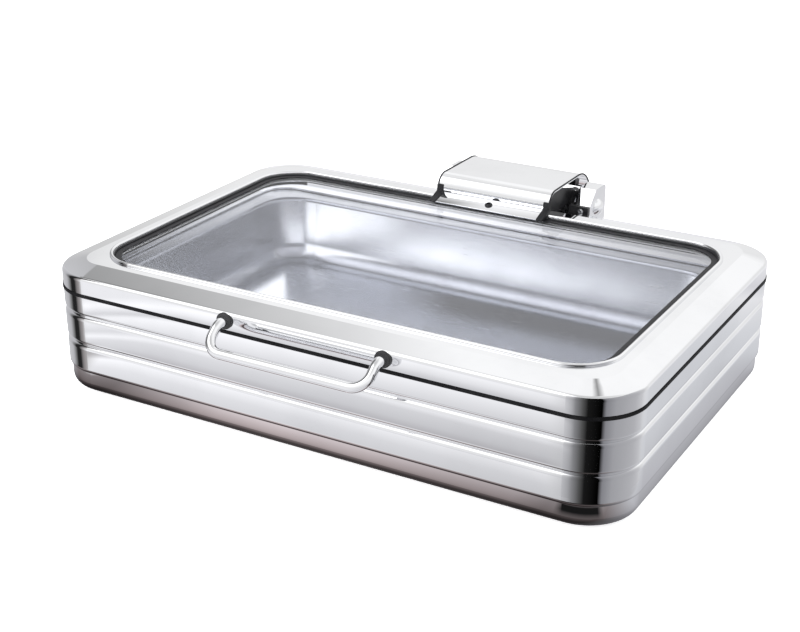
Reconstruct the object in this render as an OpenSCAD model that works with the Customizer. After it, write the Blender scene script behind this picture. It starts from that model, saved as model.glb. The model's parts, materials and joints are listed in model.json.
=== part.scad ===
// Induction chafing dish: ribbed water pan with a magnetic base, a loose food pan,
// and a framed glass lid on a damped rear hinge. Millimetres, +Z up, the handle at -Y,
// the hinge at +Y, the origin at the middle of the face it stands on.

/* [Food pan] */
// Length of the food pan over its flange
pan_l = 530; // [480:1:600]
// Depth of the food pan over its flange, front to back
pan_d = 325; // [280:1:400]
// How deep the food pan is inside
pan_depth = 65; // [40:1:80]
// Width of the food pan's flange
pan_flange = 14; // [10:0.5:18]
// Corner radius of the flange
pan_corner_r = 24; // [16:1:30]
// Corner radius of the mouth
pan_mouth_r = 45; // [40:1:60]
// How far each wall leans in from mouth to floor
pan_taper = 9; // [4:0.5:12]
// Radius between the walls and the floor
pan_floor_r = 18; // [10:1:24]
// Radius where the walls turn out into the flange
pan_lip_r = 5; // [3:0.5:6]
// Sheet thickness of the food pan
pan_t = 0.8; // [0.6:0.1:1.2]
// Height of the flange's turned-down edge
pan_edge_h = 2; // [1.5:0.1:3]

/* [Water pan] */
// From the pan's flange to the outer wall at the two ends
rail_side = 20; // [19:0.5:30]
// From the pan's flange to the outer wall at front and back
rail_front = 30.5; // [26:0.5:40]
// Plan corner radius of the body and lid
corner_r = 48; // [44:1:60]
// Height of the wall, from the water pan's bottom to the rim
wall_h = 97; // [90:1:125]
// Sheet thickness of the water pan and its rim
sheet = 1.2; // [0.8:0.1:1.6]
// Distance from the wall's face to where the bottom turns flat
bottom_r = 12; // [8:0.5:14]
// Height of the foot, which is set back under the bands
foot_h = 20; // [19:0.5:24]
// Distance from one band to the next
band_pitch = 28.5; // [22:0.5:30]
// Number of bands round the wall
band_count = 3; // [1:1:3]
// Depth of the grooves between bands, and of the foot's set-back
groove_depth = 2.2; // [1:0.1:3]
// Radius of the shoulders beside each groove
shoulder_r = 4.5; // [3.5:0.1:6]
// Depth of the recess that holds the food pan's flange
recess_depth = 4.4; // [3:0.1:6]
// Radius on the rim's outer edge
rim_edge_r = 1; // [0.5:0.1:1.1]

/* [Induction base] */
// Length of the induction plate
plate_l = 440; // [300:5:480]
// Depth of the induction plate, front to back
plate_d = 260; // [200:5:300]
// Corner radius of the induction plate
plate_r = 30; // [10:1:60]
// Thickness of the induction plate
plate_t = 1; // [0.6:0.1:1.5]
// Thickness of the heat spreader
spreader_t = 2; // [1.5:0.5:5]

/* [Lid frame] */
// Gap between the rim and the lid's skirt
seam = 2.5; // [1.5:0.1:4]
// Height of the lid frame, skirt and slope
lid_h = 21.5; // [20:0.5:30]
// How far the sloped top falls towards the skirt
slope_drop = 6; // [3:0.5:7]
// Radius between the slope and the skirt
lid_edge_r = 4; // [2:0.5:6]
// Sheet thickness of the lid frame
lid_t = 1.2; // [0.8:0.1:1.5]
// Width of the hem turned in under the skirt
hem_w = 8; // [7:0.5:10]
// Frame width beside the window at the two ends
frame_side = 35; // [32:0.5:42]
// Frame width in front of the window
frame_front = 37; // [34:0.5:46]
// Frame width behind the window
frame_rear = 42; // [42:0.5:50]
// Corner radius of the window
window_r = 40; // [30:1:60]
// Width of the flat land beside the window at the two ends
land_w = 12; // [8.5:0.5:14]
// Radius of the rolled bead round the window
bead_r = 1.8; // [1.2:0.1:2]

/* [Glass] */
// Thickness of the glass
glass_t = 4; // [3:0.5:5]
// How far the glass reaches under the frame
glass_lap = 5; // [3:0.5:6]
// Thickness of the gasket's lips
lip_t = 1.5; // [1:0.1:2]
// Width of the black border that the gasket's upper lip lays on the glass
border_w = 10; // [4:0.5:14]
// How far the gasket's lower lip shows inside the window
lip_show = 2.5; // [1:0.5:4]
// Thickness of the gasket's outer wall
gasket_wall = 1.5; // [1:0.1:2]

/* [Liner] */
// Sheet thickness of the liner
liner_t = 1; // [0.6:0.1:1.2]
// From the lid's outer face to the liner's upright wall
liner_in = 17.2; // [14:0.1:18]
// Height of the liner's lower flange above the skirt's edge
liner_up = 3; // [3:0.1:4]

/* [Handle] */
// Distance between the handle's legs
handle_span = 156; // [110:1:240]
// Diameter of the rod
rod_d = 9; // [8:0.5:11]
// Height of the legs' roots above the skirt's edge
root_up = 9; // [8.5:0.1:9.5]
// Straight length of each leg before it bends
root_len = 6; // [4:0.5:12]
// Radius of the bend at each root
root_bend_r = 12; // [8:0.5:20]
// How far the handle tilts down
handle_tilt = 40; // [15:1:55]
// Length from the root bend to the middle of the bar
slope_len = 21; // [18:0.5:32]
// Radius of the handle's two corners
elbow_r = 15; // [10:0.5:17]
// Radius of the handle screws
handle_screw_r = 2; // [1.5:0.1:2.5]

/* [Hinge] */
// Distance of the hinge pin behind the rear wall
hinge_back = 35; // [33:0.5:42]
// Height of the hinge pin above the rim
hinge_up = 15; // [13:0.5:18]
// Radius of the hinge pin
pin_r = 4; // [3:0.5:5]
// Outer radius of the hood over the pin
hood_r = 31; // [29:0.5:32]
// Width of the hood
hood_w = 124; // [112:1:160]
// Sheet thickness of the hood
hood_t = 2; // [1.5:0.1:2.5]
// Radius of the hood's front edge
hood_nose_r = 14; // [8:0.5:18]
// Gap between the hood and each cheek
cheek_gap = 4; // [1:0.5:6]
// Thickness of each cheek
cheek_t = 18; // [10:0.5:24]
// Half the width of the cheeks' heads, round the pin
cheek_half = 20; // [18:0.5:23]
// Radius on the corners of the cheeks' heads
cheek_edge_r = 5; // [2:0.5:8]
// Width of the bevel on the heads' front edges
cheek_bevel = 14; // [8:0.5:18]
// Thickness of the bracket's wall plate
bracket_t = 4; // [3:0.5:6]
// Thickness of the bracket's cross web
web_t = 6; // [4:0.5:8]
// Thickness of each arm
arm_t = 10; // [8:0.5:12]
// Distance between the arms
arm_gap = 68; // [56:1:76]
// Radius of the arms' knuckles
knuckle_r = 12; // [10:0.5:14]
// Width of the heel that meets the stop buffer
heel_w = 10; // [6:0.5:12]
// Radius of the dampers
damper_r = 13; // [11:0.5:15]
// Thickness of the clamps that hold the dampers
clamp_t = 5; // [3:0.5:6]
// Height of the clamps
clamp_h = 19; // [12:0.5:20]
// Radius of the stop buffers
buffer_r = 4.5; // [3:0.5:5]
// Thickness of the stop buffers
buffer_t = 4; // [3:0.5:5]

/* [Hidden] */
$fn = 96;
running_fit = 0.05;   // radial clearance of a turning fit
play = 0.3;           // gap between faces that move past each other
seat = 0.02;          // gap round a screw and under a seated plate
bite = 0.003;         // how far a straight cuts into the round that it runs into
cut = 1;              // how far a cutter reaches past a face

// Finishes
polished = [0.86, 0.87, 0.89];
satin = [0.72, 0.73, 0.75];
dull_steel = [0.58, 0.59, 0.61];
black_rubber = [0.06, 0.06, 0.07];
black_plastic = [0.09, 0.09, 0.1];
clear_glass = [0.82, 0.84, 0.92, 0.35];
aluminium = [0.77, 0.78, 0.79];

// Plan of the body
body_l = pan_l + 2 * rail_side;
body_d = pan_d + 2 * rail_front;

// Levels, from the table up
base_h = plate_t + spreader_t;
rim_z = base_h + wall_h;
ledge_z = rim_z - recess_depth;
pan_z = ledge_z + pan_edge_h;
pan_floor_z = pan_z - pan_depth;
lid_z = rim_z + seam;
land_z = lid_z + lid_h;
gasket_top = land_z - lid_t;
glass_top = gasket_top - lip_t;
glass_bottom = glass_top - glass_t;
gasket_bottom = glass_bottom - lip_t;
liner_flange_z = lid_z + liner_up;

// Food pan and its opening in the rim
mouth_l = pan_l - 2 * pan_flange;
mouth_d = pan_d - 2 * pan_flange;
pan_clear = 2;
opening_clear = 3;
recess_l = pan_l + 2 * pan_clear;
recess_d = pan_d + 2 * pan_clear;
recess_r = pan_corner_r + pan_clear;
opening_l = mouth_l + 2 * opening_clear;
opening_d = mouth_d + 2 * opening_clear;
opening_r = pan_mouth_r + opening_clear;
wall_lean = atan(pan_taper / pan_depth);
floor_arc_u = -(pan_depth - pan_floor_r) * tan(wall_lean) - pan_floor_r / cos(wall_lean);
lip_arc_u = pan_lip_r * (cos(wall_lean) - (1 - sin(wall_lean)) * tan(wall_lean));
blend_flat = 1;
lip_out = pan_lip_r + blend_flat;
floor_in = pan_taper + pan_floor_r + blend_flat;

// Window, gasket and land of the lid
window_l = body_l - 2 * frame_side;
window_d = body_d - frame_front - frame_rear;
window_y = (frame_front - frame_rear) / 2;
window_rear_y = window_y + window_d / 2;
bevel_w = min(frame_side, frame_front, frame_rear) - land_w;
bevel_a = atan(slope_drop / bevel_w);
edge_arc_z = land_z - (bevel_w - lid_edge_r) * tan(bevel_a) - lid_edge_r / cos(bevel_a);

// Handle
rod_r = rod_d / 2;
weld_bead = 0.03;
root_z = lid_z + root_up;
ferrule_w = 3;
ferrule_r = rod_r + ferrule_w;
ferrule_t = 3;
stiffener_t = 2;
stiffener_h = 6;
stiffener_end = 17;
stiffener_l = handle_span + 2 * stiffener_end;
stiffener_top = min(root_z + stiffener_h / 2, edge_arc_z);
washer_t = 1;
washer_w = 2.4;
washer_r = handle_screw_r + washer_w;
head_w = 1.5;
head_r = handle_screw_r + head_w;
head_t = 3;
screw_bite = 10;
screw_clear = 0.2;

// Hinge
rear_y = body_d / 2;
pin_y = rear_y + hinge_back;
pin_z = rim_z + hinge_up;
hood_gap = 1.4;
hood_front_y = window_rear_y + 2 * bead_r + hood_gap;
hood_top = pin_z + hood_r;
hood_in = hood_w / 2;
cheek_in = hood_in + cheek_gap;
cheek_out = cheek_in + cheek_t;
arm_in = arm_gap / 2;
arm_out = arm_in + arm_t;
arm_mid = (arm_in + arm_out) / 2;
bracket_up = 27;
bracket_low = base_h + bracket_up;
bracket_drop = 3;
bracket_high = rim_z - bracket_drop;
web_gap = 1;
web_top = pin_z - hood_r - web_gap;
web_over = 6;
web_back = pin_y + web_over;
heel_gap = 2;
heel_len = hood_r - hood_t - heel_gap;
stop_y = pin_y - heel_w / 2 - play;
stop_z = pin_z - heel_len + buffer_r;
lug_t = 5;
lug_over = 1;
bush_wall = 2.5;
bush_r = pin_r + bush_wall;
bush_flange_w = 2.5;
bush_flange_r = bush_r + bush_flange_w;
bush_flange_t = 1;
rotor_r = bush_flange_r;
rotor_t = 3.7;
clamp_front = pin_y - cheek_half - clamp_t;
clamp_high = pin_z + cheek_half - cheek_bevel;
clamp_gap = 1;
pin_proud = 2;
cap_r = 9;
cap_t = 6;
leaf_t = 3;
leaf_inset = 8;
leaf_w = hood_w - 2 * leaf_inset;
leaf_front_y = rear_y - bevel_w;
leaf_rear_y = rear_y - lid_edge_r;
leaf_screw_in = 11;
leaf_screw_y = rear_y - leaf_screw_in;
leaf_screw_near = 22;
leaf_screw_far = 50;
leaf_screw_r = 2;
leaf_head_r = 3.6;
leaf_head_t = 2.4;
backing_t = 2;
backing_in = 3;
arm_step = 4;
nose_back = 2;
arm_seat = 4;
arm_top_y = hood_front_y + hood_nose_r + nose_back + arm_seat;
rim_flat = 2;
cover_t = 2;
cover_inset = 4;
cover_gap = 0.1;
eye_gap = 2 * play;
eye_w = 3;
eye_r = damper_r + eye_gap + eye_w;
stud_r = 2.5;
stud_x = 45;
stud_len = 11;
nut_af = 8;
nut_t = 4;
stud_rows = [for (k = [0:1]) base_h + foot_h + (k + 0.5) * band_pitch];

// Buffers under the lid
button_r = 3;
button_stem_r = 1.5;
button_head_r = 2.5;
button_head_t = 1;
button_gap = 0.2;
button_x = body_l / 3;
button_y = body_d / 6;

// Height of the sloped rear rail at a given place behind the middle
function rail_z(y) = land_z - (y - rear_y + bevel_w) * tan(bevel_a);

// A rectangle with round corners, about the origin
module rounded_rect(l, d, r) {
  square([l - 2 * r, d], center = true);
  square([l, d - 2 * r], center = true);
  for (x = [-1, 1], y = [-1, 1])
    translate([x * (l / 2 - r), y * (d / 2 - r)])
      circle(r);
}

// A flat slab with round corners between two levels
module slab(l, d, r, low, high) {
  translate([0, 0, low])
    linear_extrude(high - low)
      rounded_rect(l, d, r);
}

// A flat ring: the outer plan less the inner plan, which may sit off centre
module flat_ring(outer, inner, low, high, inner_y = 0) {
  translate([0, 0, low])
    linear_extrude(high - low)
      difference() {
        rounded_rect(outer[0], outer[1], outer[2]);
        translate([0, inner_y])
          rounded_rect(inner[0], inner[1], inner[2]);
      }
}

// A section carried round a rounded rectangle: x runs outwards from its edge, y is height
module ring_sweep(l, d, r) {
  for (i = [0:3]) {
    a = (i % 2 == 0 ? l : d) / 2;
    b = (i % 2 == 0 ? d : l) / 2;
    rotate([0, 0, 90 * i]) {
      translate([a, b - r, 0])
        rotate([90, 0, 0])
          linear_extrude(2 * (b - r))
            children();
      translate([a - r, b - r, 0])
        rotate_extrude(angle = 90)
          translate([r, 0])
            children();
    }
  }
}

// A block between two corners
module block(a, b) {
  translate(a)
    cube(b - a);
}

// A profile in the plane of Y and height, drawn between two places along X
module across(x0, x1) {
  translate([x0, 0, 0])
    rotate([90, 0, 90])
      linear_extrude(x1 - x0)
        children();
}

// A round bar along X about the hinge pin's axis
module on_pin(x0, x1, r) {
  translate([x0, pin_y, pin_z])
    rotate([0, 90, 0])
      cylinder(r = r, h = x1 - x0);
}

// The same thing on both sides of the middle
module both_sides() {
  children();
  mirror([1, 0, 0])
    children();
}

// The wall's section, moved in by t: bands with round shoulders, over a foot with a round bottom edge
module wall_fill(t, top) {
  foot_r = bottom_r - groove_depth;
  foot_z = base_h + foot_r;
  grooves = [for (k = [0:band_count - 1]) base_h + foot_h + k * band_pitch];
  intersection() {
    translate([-bottom_r, base_h])
      square([bottom_r, top - base_h]);
    union() {
      translate([-bottom_r, foot_z]) {
        circle(foot_r - t);
        square([foot_r - t, top - foot_z]);
      }
      for (k = [0:band_count - 1])
        band_fill(t, grooves[k] + shoulder_r, k + 1 < band_count ? grooves[k + 1] - shoulder_r : top);
    }
  }
}

// One band, from the centre of its lower shoulder to the centre of its upper one
module band_fill(t, low, high) {
  translate([-bottom_r, low])
    square([bottom_r - t, high - low]);
  for (z = [low, high])
    translate([-shoulder_r, z])
      circle(shoulder_r - t);
}

module wall_section() {
  difference() {
    wall_fill(0, rim_z - sheet);
    wall_fill(sheet, rim_z + cut);
  }
}

module water_pan() {
  color(polished) {
    ring_sweep(body_l, body_d, corner_r)
      wall_section();
    slab(body_l - 2 * bottom_r, body_d - 2 * bottom_r, corner_r - bottom_r, base_h, base_h + sheet);
  }
}

// Flat rim on the wall's top, a step down and the ledge under the food pan's flange
module rim_frame() {
  recess = [recess_l, recess_d, recess_r];
  step = [recess_l + 2 * sheet, recess_d + 2 * sheet, recess_r + sheet];
  rim_edge = 2 * rim_edge_r + rim_flat;
  color(polished) {
    ring_sweep(body_l, body_d, corner_r)
      rim_edge_section(rim_edge);
    flat_ring(
      [body_l - 2 * rim_edge, body_d - 2 * rim_edge, corner_r - rim_edge],
      recess, rim_z - sheet, rim_z
    );
    flat_ring(step, recess, ledge_z - sheet, rim_z);
    flat_ring(step, [opening_l, opening_d, opening_r], ledge_z - sheet, ledge_z);
  }
}

module rim_edge_section(w) {
  translate([-w, rim_z - sheet])
    square([w - rim_edge_r, sheet]);
  translate([-rim_edge_r, rim_z - sheet])
    square([rim_edge_r, sheet - rim_edge_r]);
  intersection() {
    translate([-rim_edge_r, rim_z - rim_edge_r])
      circle(rim_edge_r);
    translate([-rim_edge_r, rim_z - rim_edge_r])
      square(rim_edge_r);
  }
}

module heat_spreader() {
  color(aluminium)
    slab(plate_l - 2 * plate_t, plate_d - 2 * plate_t, plate_r - plate_t, plate_t, base_h);
}

module induction_plate() {
  color(dull_steel)
    difference() {
      slab(plate_l, plate_d, plate_r, 0, base_h);
      slab(plate_l - 2 * plate_t, plate_d - 2 * plate_t, plate_r - plate_t, plate_t, base_h + cut);
    }
}

// Two cheeks that carry the pin, a plate on the rear wall, a web that ties them and a lug behind each buffer
module hinge_bracket() {
  color(polished)
    difference() {
      union() {
        both_sides()
          across(cheek_in, cheek_out)
            cheek_profile();
        block([-cheek_out, rear_y, bracket_low], [cheek_out, rear_y + bracket_t, web_top]);
        block([-cheek_in, rear_y, web_top - web_t], [cheek_in, web_back, web_top]);
        both_sides()
          block(
            [arm_in, stop_y - buffer_t - lug_t, web_top - web_t],
            [arm_out, stop_y - buffer_t, stop_z + buffer_r + lug_over]
          );
      }
      on_pin(-cheek_out - cut, cheek_out + cut, pin_r);
      bracket_fixings()
        cylinder(r = stud_r, h = stud_len + cut);
    }
}

// A square head round the pin, bevelled in front, on a leg from the rear wall
module cheek_profile() {
  front = pin_y - cheek_half;
  top = pin_z + cheek_half;
  difference() {
    translate([pin_y, pin_z])
      rounded_rect(2 * cheek_half, 2 * cheek_half, cheek_edge_r);
    polygon([
      [front - cut, top - cheek_bevel - cut],
      [front + cheek_bevel + cut, top + cut],
      [front - cut, top + cut]
    ]);
  }
  polygon([
    [rear_y, bracket_low],
    [rear_y + bracket_t, bracket_low],
    [pin_y + cheek_half - 2 * cheek_edge_r, pin_z - cheek_half],
    [pin_y, pin_z],
    [front, pin_z],
    [front, bracket_high],
    [rear_y, bracket_high]
  ]);
}

// The four places where the bracket is bolted, facing backwards from the wall
module bracket_fixings() {
  for (x = [-stud_x, stud_x], z = stud_rows)
    translate([x, rear_y, z])
      rotate([-90, 0, 0])
        children();
}

module bracket_studs() {
  color(dull_steel)
    bracket_fixings()
      cylinder(r = stud_r, h = stud_len);
}

module bracket_nuts() {
  color(dull_steel)
    bracket_fixings()
      translate([0, 0, bracket_t])
        difference() {
          cylinder(d = nut_af / cos(30), h = nut_t, $fn = 6);
          translate([0, 0, -cut])
            cylinder(r = stud_r, h = nut_t + 2 * cut);
        }
}

module hinge_pin() {
  color(satin)
    on_pin(-cheek_out - pin_proud, cheek_out + pin_proud, pin_r);
}

// Domed caps over the pin's ends
module pin_caps() {
  dome_r = (cap_r * cap_r + cap_t * cap_t) / (2 * cap_t);
  color(polished)
    both_sides()
      translate([cheek_out, pin_y, pin_z])
        rotate([0, 90, 0])
          difference() {
            rotate_extrude()
              intersection() {
                translate([0, cap_t - dome_r])
                  circle(dome_r);
                square([cap_r, cap_t]);
              }
            translate([0, 0, -cut])
              cylinder(r = pin_r, h = cut + pin_proud);
          }
}

module damper_bodies() {
  color(black_plastic)
    both_sides()
      difference() {
        on_pin(arm_out + rotor_t + play, cheek_in, damper_r);
        on_pin(arm_out, cheek_in + cut, pin_r + running_fit);
      }
}

// Clamps on the cheeks' front faces, with a tongue that bears on the damper
module damper_clamps() {
  color(black_plastic)
    both_sides() {
      block(
        [hood_in + clamp_gap, clamp_front, clamp_high - clamp_h],
        [cheek_out, pin_y - cheek_half - seat, clamp_high]
      );
      block(
        [hood_in + clamp_gap, clamp_front, clamp_high - clamp_h],
        [cheek_in - seat, pin_y - damper_r - seat, clamp_high]
      );
    }
}

module damper_rotors() {
  color(black_plastic)
    both_sides()
      difference() {
        on_pin(arm_out, arm_out + rotor_t, rotor_r);
        on_pin(arm_out - cut, arm_out + rotor_t + cut, pin_r + running_fit);
      }
}

// Pads on the lugs, which the arms' heels meet when the lid stands open
module stop_buffers() {
  color(black_rubber)
    both_sides()
      translate([arm_mid, stop_y - buffer_t, stop_z])
        rotate([-90, 0, 0])
          cylinder(r = buffer_r, h = buffer_t);
}

// Filled section inside the food pan's lip, wall and floor radius, moved out by t
module bowl_fill(t) {
  floor_z = pan_floor_z - t;
  arc_z = pan_floor_z + pan_floor_r;
  reach = pan_floor_r + t;
  lip_z = pan_z - pan_lip_r;
  lip_reach = pan_lip_r - t;
  across_wall = [cos(wall_lean), -sin(wall_lean)];
  low = [floor_arc_u, arc_z] + (reach - bite) * across_wall;
  high = [lip_arc_u, lip_z] - (lip_reach - bite) * across_wall;
  top = high + (high - low) * (pan_z - high[1]) / (high[1] - low[1]);
  intersection() {
    polygon([[-floor_in, floor_z], [lip_out, floor_z], [lip_out, pan_z], [-floor_in, pan_z]]);
    union() {
      translate([floor_arc_u, arc_z])
        circle(reach);
      polygon([[-floor_in, floor_z], [floor_arc_u, floor_z], [floor_arc_u, arc_z], [-floor_in, arc_z]]);
      polygon([[-floor_in, pan_z], top, low, [floor_arc_u, arc_z], [-floor_in, arc_z]]);
      difference() {
        translate([high[0] - cut, high[1]])
          square(2 * (pan_lip_r + cut));
        translate([lip_arc_u, lip_z])
          circle(lip_reach);
        translate([lip_arc_u, lip_z])
          square([2 * (pan_lip_r + cut), lip_reach]);
      }
    }
  }
}

// Drawn pan with leaning walls that turn out into a flat flange with a turned-down edge
module food_pan() {
  flange = [pan_l, pan_d, pan_corner_r];
  lip = [mouth_l + 2 * lip_out, mouth_d + 2 * lip_out, pan_mouth_r + lip_out];
  color(satin) {
    flat_ring(flange, lip, pan_z - pan_t, pan_z);
    flat_ring(
      flange, [pan_l - 2 * pan_t, pan_d - 2 * pan_t, pan_corner_r - pan_t],
      ledge_z, pan_z
    );
    ring_sweep(mouth_l, mouth_d, pan_mouth_r)
      difference() {
        bowl_fill(pan_t);
        bowl_fill(0);
      }
    slab(
      mouth_l - 2 * floor_in, mouth_d - 2 * floor_in, pan_mouth_r - floor_in,
      pan_floor_z - pan_t, pan_floor_z
    );
  }
}

// The lid's section filled to its inside, moved in by t: skirt, round edge and slope
module lid_fill(t, low) {
  reach = lid_edge_r - t;
  translate([-lid_edge_r, edge_arc_z])
    circle(reach);
  polygon([
    [-bevel_w, low],
    [-t, low],
    [-t, edge_arc_z],
    [-lid_edge_r + (reach - bite) * sin(bevel_a), edge_arc_z + (reach - bite) * cos(bevel_a)],
    [-bevel_w, land_z - t / cos(bevel_a)]
  ]);
}

module lid_section() {
  difference() {
    lid_fill(0, lid_z);
    lid_fill(lid_t, lid_z - cut);
  }
  translate([-hem_w, lid_z])
    square([hem_w, lid_t]);
}

// Pressed frame: skirt with a hem, sloped top, flat land and a rolled bead round the window
module lid_frame() {
  window = [window_l, window_d, window_r];
  color(polished)
    difference() {
      union() {
        ring_sweep(body_l, body_d, corner_r)
          lid_section();
        flat_ring(
          [body_l - 2 * bevel_w, body_d - 2 * bevel_w, corner_r - bevel_w],
          window, gasket_top, land_z, window_y
        );
        translate([0, window_y, 0])
          ring_sweep(window_l, window_d, window_r)
            translate([bead_r, gasket_top + bead_r])
              circle(bead_r);
      }
      handle_roots()
        translate([0, 0, -lid_t - cut])
          cylinder(r = handle_screw_r + screw_clear, h = lid_t + 2 * cut);
      leaf_fixings()
        translate([0, 0, -lid_t - cut])
          cylinder(r = leaf_screw_r + screw_clear, h = lid_t + 2 * cut);
      button_places()
        translate([0, 0, -cut])
          cylinder(r = button_stem_r, h = lid_t + 2 * cut);
    }
}

// Inner frame: a flange under the gasket, an upright wall and a flange out to the skirt
module lid_liner() {
  wall_out = [body_l - 2 * liner_in, body_d - 2 * liner_in, corner_r - liner_in];
  inside = liner_in + liner_t;
  wall_in = [body_l - 2 * inside, body_d - 2 * inside, corner_r - inside];
  skirt_in = [body_l - 2 * lid_t, body_d - 2 * lid_t, corner_r - lid_t];
  color(satin) {
    flat_ring(wall_out, [window_l, window_d, window_r], gasket_bottom - liner_t, gasket_bottom, window_y);
    flat_ring(wall_out, wall_in, liner_flange_z, gasket_bottom);
    flat_ring(skirt_in, wall_in, liner_flange_z, liner_flange_z + liner_t);
  }
}

module glass_panel() {
  color(clear_glass)
    translate([0, window_y, 0])
      slab(
        window_l + 2 * glass_lap, window_d + 2 * glass_lap, window_r + glass_lap,
        glass_bottom, glass_top
      );
}

// Channel round the glass, with a lip above and below that shows inside the window
module glass_gasket() {
  edge = glass_lap + gasket_wall;
  outer = [window_l + 2 * edge, window_d + 2 * edge, window_r + edge];
  at_glass = [window_l + 2 * glass_lap, window_d + 2 * glass_lap, window_r + glass_lap];
  in_lower = [window_l - 2 * lip_show, window_d - 2 * lip_show, window_r - lip_show];
  in_upper = [window_l - 2 * border_w, window_d - 2 * border_w, window_r - border_w];
  color(black_rubber)
    translate([0, window_y, 0]) {
      flat_ring(outer, at_glass, gasket_bottom, gasket_top);
      flat_ring(outer, in_lower, gasket_bottom, glass_bottom);
      flat_ring(outer, in_upper, glass_top, gasket_top);
    }
}

// Places of the buffers, in the middle of the hem
module button_places() {
  edge = hem_w / 2;
  for (side = [-1, 1]) {
    translate([side * button_x, -body_d / 2 + edge, lid_z])
      children();
    translate([side * (body_l / 2 - edge), -button_y, lid_z])
      children();
  }
}

module lid_buffers() {
  color(black_rubber)
    button_places() {
      translate([0, 0, button_gap - seam])
        cylinder(r = button_r, h = seam - button_gap);
      cylinder(r = button_stem_r, h = lid_t);
      translate([0, 0, lid_t])
        cylinder(r = button_head_r, h = button_head_t);
    }
}

// The two places on the front skirt where the handle stands, facing forwards
module handle_roots() {
  for (x = [-handle_span / 2, handle_span / 2])
    translate([x, -body_d / 2, root_z])
      rotate([90, 0, 0])
        children();
}

// Bent rod: straight roots, a bend down, round corners and the bar
module handle() {
  bend_end = [0, -root_bend_r * (1 - cos(handle_tilt)), root_len + root_bend_r * sin(handle_tilt)];
  color(polished)
    translate([0, -body_d / 2, root_z])
      rotate([90, 0, 0])
        difference() {
          union() {
            both_sides()
              translate([handle_span / 2, 0, 0])
                handle_root(bend_end);
            translate(bend_end)
              rotate([handle_tilt, 0, 0])
                handle_loop();
          }
          both_sides()
            translate([handle_span / 2, 0, -cut])
              cylinder(r = handle_screw_r + seat, h = screw_bite + cut);
        }
}

// One leg out of the skirt and through its bend, with a weld bead at the end
module handle_root(bend_end) {
  cylinder(r = rod_r, h = root_len);
  translate([0, -root_bend_r, root_len])
    rotate([90, 0, 90])
      rotate_extrude(angle = handle_tilt)
        translate([root_bend_r, 0])
          circle(rod_r);
  translate(bend_end)
    sphere(rod_r + weld_bead);
}

// The flat loop beyond the bends: two straights, two round corners and the bar
module handle_loop() {
  both_sides()
    translate([handle_span / 2, 0, 0]) {
      cylinder(r = rod_r, h = slope_len - elbow_r);
      translate([-elbow_r, 0, slope_len - elbow_r])
        rotate([90, 0, 0])
          rotate_extrude(angle = 90)
            translate([elbow_r, 0])
              circle(rod_r);
    }
  translate([elbow_r - handle_span / 2, 0, slope_len])
    rotate([0, 90, 0])
      cylinder(r = rod_r, h = handle_span - 2 * elbow_r);
}

// Collars with a round outer edge, on the skirt round the legs
module handle_ferrules() {
  color(black_plastic)
    handle_roots()
      rotate_extrude()
        translate([rod_r, 0]) {
          square([ferrule_r - rod_r, ferrule_t / 2]);
          square([ferrule_r - rod_r - ferrule_t / 2, ferrule_t]);
          translate([ferrule_r - rod_r - ferrule_t / 2, ferrule_t / 2])
            circle(ferrule_t / 2);
        }
}

module handle_stiffener() {
  inside = -body_d / 2 + lid_t;
  color(dull_steel)
    difference() {
      block(
        [-stiffener_l / 2, inside, root_z - stiffener_h / 2],
        [stiffener_l / 2, inside + stiffener_t, stiffener_top]
      );
      handle_roots()
        translate([0, 0, -lid_t - stiffener_t - cut])
          cylinder(r = handle_screw_r + seat, h = lid_t + stiffener_t + cut);
    }
}

module handle_washers() {
  color(dull_steel)
    handle_roots()
      translate([0, 0, -lid_t - stiffener_t - washer_t])
        difference() {
          cylinder(r = washer_r, h = washer_t);
          translate([0, 0, -cut])
            cylinder(r = handle_screw_r + seat, h = washer_t + 2 * cut);
        }
}

module handle_screws() {
  head_at = -lid_t - stiffener_t - washer_t;
  color(dull_steel)
    handle_roots() {
      translate([0, 0, head_at - head_t])
        cylinder(r = head_r, h = head_t);
      translate([0, 0, head_at])
        cylinder(r = handle_screw_r, h = screw_bite - head_at);
    }
}

// The four places on the rear rail where the leaf is screwed, square to the slope
module leaf_fixings() {
  for (side = [-1, 1], x = [leaf_screw_near, leaf_screw_far])
    translate([side * x, leaf_screw_y, rail_z(leaf_screw_y)])
      rotate([-bevel_a, 0, 0])
        children();
}

// A strip that lies on the rail's slope, from one level above it to another
module rail_strip(w, front, rear, low, high) {
  across(-w / 2, w / 2)
    polygon([
      [front, rail_z(front) + low],
      [rear, rail_z(rear) + low],
      [rear, rail_z(rear) + high],
      [front, rail_z(front) + high]
    ]);
}

// Base plate on the rail and two arms that reach back to the pin and carry the hood
module hinge_leaf() {
  color(black_plastic)
    difference() {
      union() {
        rail_strip(leaf_w, leaf_front_y, leaf_rear_y, seat, leaf_t);
        both_sides()
          across(arm_in, arm_out)
            arm_profile();
      }
      on_pin(-arm_out - cut, arm_out + cut, bush_r);
      leaf_fixings()
        translate([0, 0, -cut])
          cylinder(r = leaf_screw_r + seat, h = leaf_t + 2 * cut);
    }
}

module arm_profile() {
  top = hood_top - hood_t;
  translate([pin_y, pin_z])
    circle(knuckle_r);
  translate([pin_y, pin_z - heel_w / 2])
    square([heel_len, heel_w]);
  polygon([
    [leaf_front_y, rail_z(leaf_front_y) + seat],
    [leaf_rear_y, rail_z(leaf_rear_y) + seat],
    [rear_y + arm_step, rail_z(leaf_rear_y) + seat],
    [pin_y - knuckle_r / 2, pin_z - 0.85 * knuckle_r],
    [pin_y, pin_z],
    [pin_y, pin_z + knuckle_r - bite],
    [arm_top_y, top],
    [arm_top_y - arm_seat, top],
    [leaf_front_y, top - hood_nose_r / 2]
  ]);
}

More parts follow.
